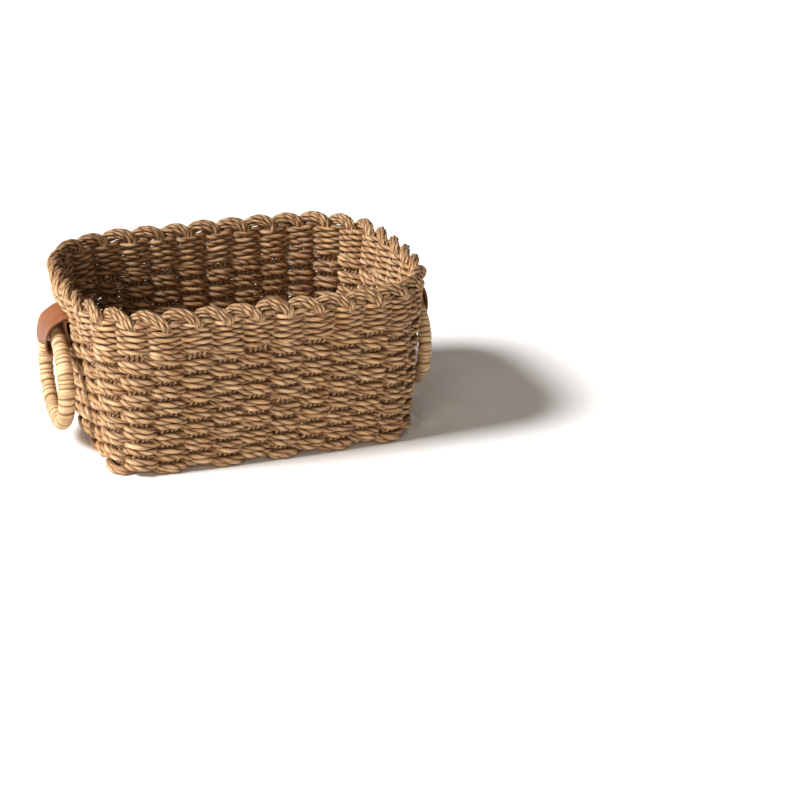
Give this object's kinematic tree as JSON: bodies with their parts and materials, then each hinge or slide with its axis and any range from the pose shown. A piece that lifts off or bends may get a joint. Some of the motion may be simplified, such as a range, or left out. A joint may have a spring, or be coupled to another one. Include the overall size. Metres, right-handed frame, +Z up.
{
  "type": "woven laundry basket",
  "caption": "Rounded rectangular rope basket woven over flat stakes, with a scalloped rim and bound ring handles hung from leather loops.",
  "frame": {"origin": "centre of the base at the level it stands on", "axes": "+Z up, X along the long sides with the handles at its two ends, Y along the short sides with the front at -Y"},
  "size_m": [0.433, 0.2836, 0.19],
  "materials": {
    "weaver_rope": "matte",
    "stake_cord": "matte",
    "rush_winding": "matte",
    "tan_leather": "satin",
    "cane_core": "matte",
    "thread": "matte"
  },
  "bodies": {
    "basket": {"cross_stake_01": "stake_cord", "cross_stake_02": "stake_cord", "cross_stake_03": "stake_cord", "cross_stake_04": "stake_cord", "cross_stake_05": "stake_cord", "cross_stake_06": "stake_cord", "cross_stake_07": "stake_cord", "cross_stake_08": "stake_cord", "cross_stake_09": "stake_cord", "cross_stake_10": "stake_cord", "long_stake_01": "stake_cord", "long_stake_02": "stake_cord", "long_stake_03": "stake_cord", "long_stake_04": "stake_cord", "long_stake_05": "stake_cord", "long_stake_06": "stake_cord", "long_stake_07": "stake_cord", "course_01": "weaver_rope", "course_02": "weaver_rope", "course_03": "weaver_rope", "course_04": "weaver_rope", "course_05": "weaver_rope", "course_06": "weaver_rope", "course_07": "weaver_rope", "course_08": "weaver_rope", "course_09": "weaver_rope", "course_10": "weaver_rope", "course_11": "weaver_rope", "course_12": "weaver_rope", "course_13": "weaver_rope", "course_14": "weaver_rope", "course_15": "weaver_rope", "twined_row_1": "weaver_rope", "twined_row_2": "weaver_rope", "twined_row_3": "weaver_rope", "twined_row_4": "weaver_rope", "twined_row_5": "weaver_rope", "rim_border": "stake_cord", "base_weaver_1": "weaver_rope", "base_weaver_2": "weaver_rope", "base_weaver_3": "weaver_rope", "base_weaver_4": "weaver_rope", "base_weaver_5": "weaver_rope", "base_weaver_6": "weaver_rope", "tab_root_left": "tan_leather", "tab_root_right": "tan_leather", "tab_stitches_left": "thread", "tab_stitches_right": "thread"},
    "left_tab": {"leather_tab_left": "tan_leather"},
    "left_ring": {"ring_core_left": "cane_core", "ring_wrap_left": "rush_winding"},
    "right_tab": {"leather_tab_right": "tan_leather"},
    "right_ring": {"ring_core_right": "cane_core", "ring_wrap_right": "rush_winding"}
  },
  "joints": [
    {"name": "left_tab_flex", "type": "hinge", "parent": "basket", "child": "left_tab", "pos_m": [-0.19651, 0, 0.1485], "axis": [0, 1, 0], "range_deg": [0, 110]},
    {"name": "left_ring_swing", "type": "hinge", "parent": "left_tab", "child": "left_ring", "pos_m": [-0.20236, 0, 0.13], "axis": [0, 1, 0], "range_deg": [0, 30]},
    {"name": "right_tab_flex", "type": "hinge", "parent": "basket", "child": "right_tab", "pos_m": [0.19651, 0, 0.1485], "axis": [0, -1, 0], "range_deg": [0, 110]},
    {"name": "right_ring_swing", "type": "hinge", "parent": "right_tab", "child": "right_ring", "pos_m": [0.20236, 0, 0.13], "axis": [0, -1, 0], "range_deg": [0, 30]}
  ]
}
